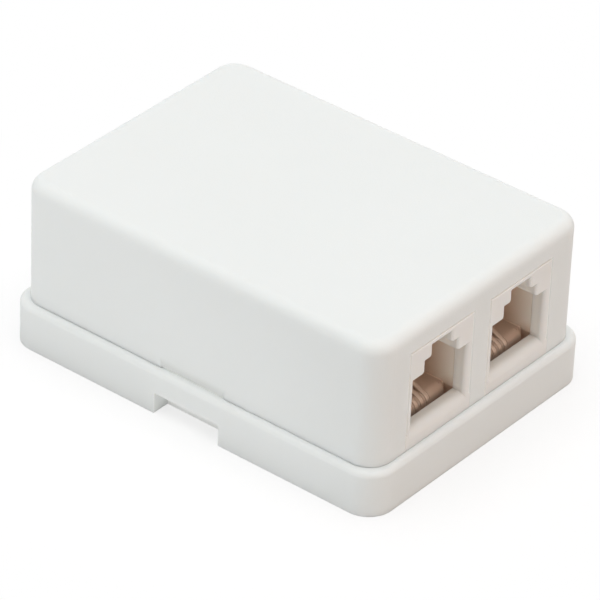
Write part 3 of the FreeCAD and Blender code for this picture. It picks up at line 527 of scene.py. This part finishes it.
def lathe(shape, profile, steps=48):
    """Add a turned solid from radii and heights, with both ends closed."""
    turned = []
    for radius, height in profile:
        angles = (math.tau * step / steps for step in range(steps))
        turned.append([(radius * math.cos(angle), radius * math.sin(angle), height) for angle in angles])
    loft(shape, turned)
    bmesh.ops.holes_fill(shape, edges=[edge for edge in shape.edges if edge.is_boundary])


def cross_cutter():
    """A cross, narrower at its bottom, to cut the screwdriver recess with."""
    shape = bmesh.new()
    rings = []
    for depth, scale in ((drive_deep, 0.55), (drive_deep * 0.85, 0.78), (-0.0003, 1.03)):
        arm, half = drive_long / 2 * scale, drive_wide / 2 * (0.5 + scale / 2)
        inner = half + 0.00006
        ring = []
        for turn in range(4):
            for x, y in ((arm, -half), (arm, half), (inner, inner)):
                for _ in range(turn):
                    x, y = -y, x
                ring.append((x, y, crown - depth))
        rings.append(ring)
    loft(shape, rings)
    bmesh.ops.holes_fill(shape, edges=shape.edges[:])
    return finished_piece("cross_cutter", shape, Matrix.Identity(4))


screw_profile = [(core_half / 2, -shank_long), (core_half - 0.0001, -shank_long + 0.0004)]
for turn in range(int((shank_long - 0.0008) / thread_pitch)):
    foot = -shank_long + 0.0006 + turn * thread_pitch
    crest = core_half + thread_high
    screw_profile += [(core_half, foot), (crest, foot + 0.35 * thread_pitch),
                      (crest, foot + 0.45 * thread_pitch), (core_half, foot + 0.8 * thread_pitch)]
screw_profile += [(0.0011, -0.0003), (0.00118, 0)] + list(head_profile)

shape = bmesh.new()
lathe(shape, screw_profile)
blank = finished_piece("screw_blank", shape, Matrix.Identity(4), smooth_to=40)
cutter = cross_cutter()
cut = blank.modifiers.new("recess", "BOOLEAN")
cut.operation, cut.solver, cut.object = "DIFFERENCE", "EXACT", cutter
screw_mesh = bpy.data.meshes.new_from_object(blank.evaluated_get(bpy.context.evaluated_depsgraph_get()))
for face in screw_mesh.polygons:
    face.use_smooth = True
screw_mesh.set_sharp_from_angle(angle=math.radians(40))
bpy.data.objects.remove(blank)
bpy.data.objects.remove(cutter)

zinc, place = new_finish("zinc_plate", Metallic=1.0)
haze = place.noise(500, detail=4.0).rise(0.3, 0.7)
finish_with(zinc,
            Base_Color=haze.tint((0.72, 0.73, 0.74, 1), (0.64, 0.65, 0.65, 1)),
            Roughness=0.26 + 0.16 * haze,
            Normal=place.noise(2400, detail=3.0).bump(0.00001))

for turn, node in enumerate(sorted(name for name in nodes if name.startswith("screw_"))):
    low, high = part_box(node)
    mesh = screw_mesh.copy()
    mesh.transform(Matrix.Translation(((low.x + high.x) / 2, (low.y + high.y) / 2, high.z - crown))
                   @ Matrix.Rotation(0.4 + 1.9 * turn, 4, "Z"))
    mesh.materials.clear()
    piece = bpy.data.objects.new("pan_head_" + node, mesh)
    bpy.context.scene.collection.objects.link(piece)
    stand_in(piece, node, zinc)
    cover_with(zinc, node.replace("screw_", "washer_"))


# ---- Floor, background and lamps ----
# A white table under a wide soft light from overhead and the left, with a weak warm one on the
# socket end. To the camera the white table fades into a white background.
table_mesh = bpy.data.meshes.new("table")
table_half, table_top = 3.0, -0.00002  # a hair under the base, so the two never share a plane
table_mesh.from_pydata([(-table_half, -table_half, table_top), (table_half, -table_half, table_top),
                        (table_half, table_half, table_top), (-table_half, table_half, table_top)],
                       [], [(0, 1, 2, 3)])
table = bpy.data.objects.new("table", table_mesh)
bpy.context.scene.collection.objects.link(table)


def seen_directly(tree):
    """1 for rays from the camera or off something glossy or clear, which see plain white."""
    path = tree.nodes.new("ShaderNodeLightPath")
    rays = [Channel(path.outputs["Is %s Ray" % kind]) for kind in ("Camera", "Glossy", "Transmission")]
    return rays[0].larger(rays[1].larger(rays[2]))


table_white = bpy.data.materials.new("table_white")
table_white.use_nodes = True
tree = table_white.node_tree
tree.nodes.remove(tree.nodes["Principled BSDF"])
direct = seen_directly(tree)
place = Channel(tree.nodes.new("ShaderNodeTexCoord").outputs["Object"])
paper_white = direct.tint((0.70, 0.695, 0.69, 1), (0.97, 0.97, 0.97, 1))
paper = direct.node("ShaderNodeBsdfDiffuse", {}, {"Color": paper_white})

# the camera sees the table fade to white, and the box's left side gets a lift from it
at_left = place.part("X").fall(-0.030, -0.016) * place.part("Y").rise(-0.034, -0.022)
lit = direct * (0.60 + 0.40 * place.length().rise(0.030, 0.060)) + (1 - direct) * 0.44 * at_left
glow_level = direct + (1 - direct) * 1.75
glow = direct.node("ShaderNodeEmission", {}, {"Color": (1, 1, 1, 1), "Strength": glow_level})
shown = direct.node("ShaderNodeMixShader", {}, {0: lit, 1: paper, 2: glow})
tree.links.new(shown.socket, tree.nodes["Material Output"].inputs["Surface"])
table_mesh.materials.append(table_white)

world = bpy.data.worlds.new("studio")
bpy.context.scene.world = world
world.use_nodes = True
direct = seen_directly(world.node_tree)
sky_level = 0.48
plug_in(world.node_tree.nodes["Background"],
        {"Color": (1, 1, 1, 1), "Strength": direct * (1 - sky_level) + sky_level})


def add_sun(name, towards, level, colour, spread):
    """A distant soft lamp. At level 1 it lights a white face that looks at it fully."""
    lamp = bpy.data.objects.new(name, bpy.data.lights.new(name, "SUN"))
    lamp.data.energy = level * math.pi
    lamp.data.color = colour
    lamp.data.angle = math.radians(spread)
    lamp.rotation_mode = "QUATERNION"
    lamp.rotation_quaternion = Vector(towards).to_track_quat("Z", "Y")
    bpy.context.scene.collection.objects.link(lamp)


add_sun("overhead", (-0.06, 0.0, 1.0), 0.553, (0.99, 0.993, 0.995), 60)
add_sun("socket_end", (0.12, -1.0, 0.1), 0.15, (1.0, 0.46, 0.14), 40)

bpy.context.scene.view_settings.view_transform = "Standard"
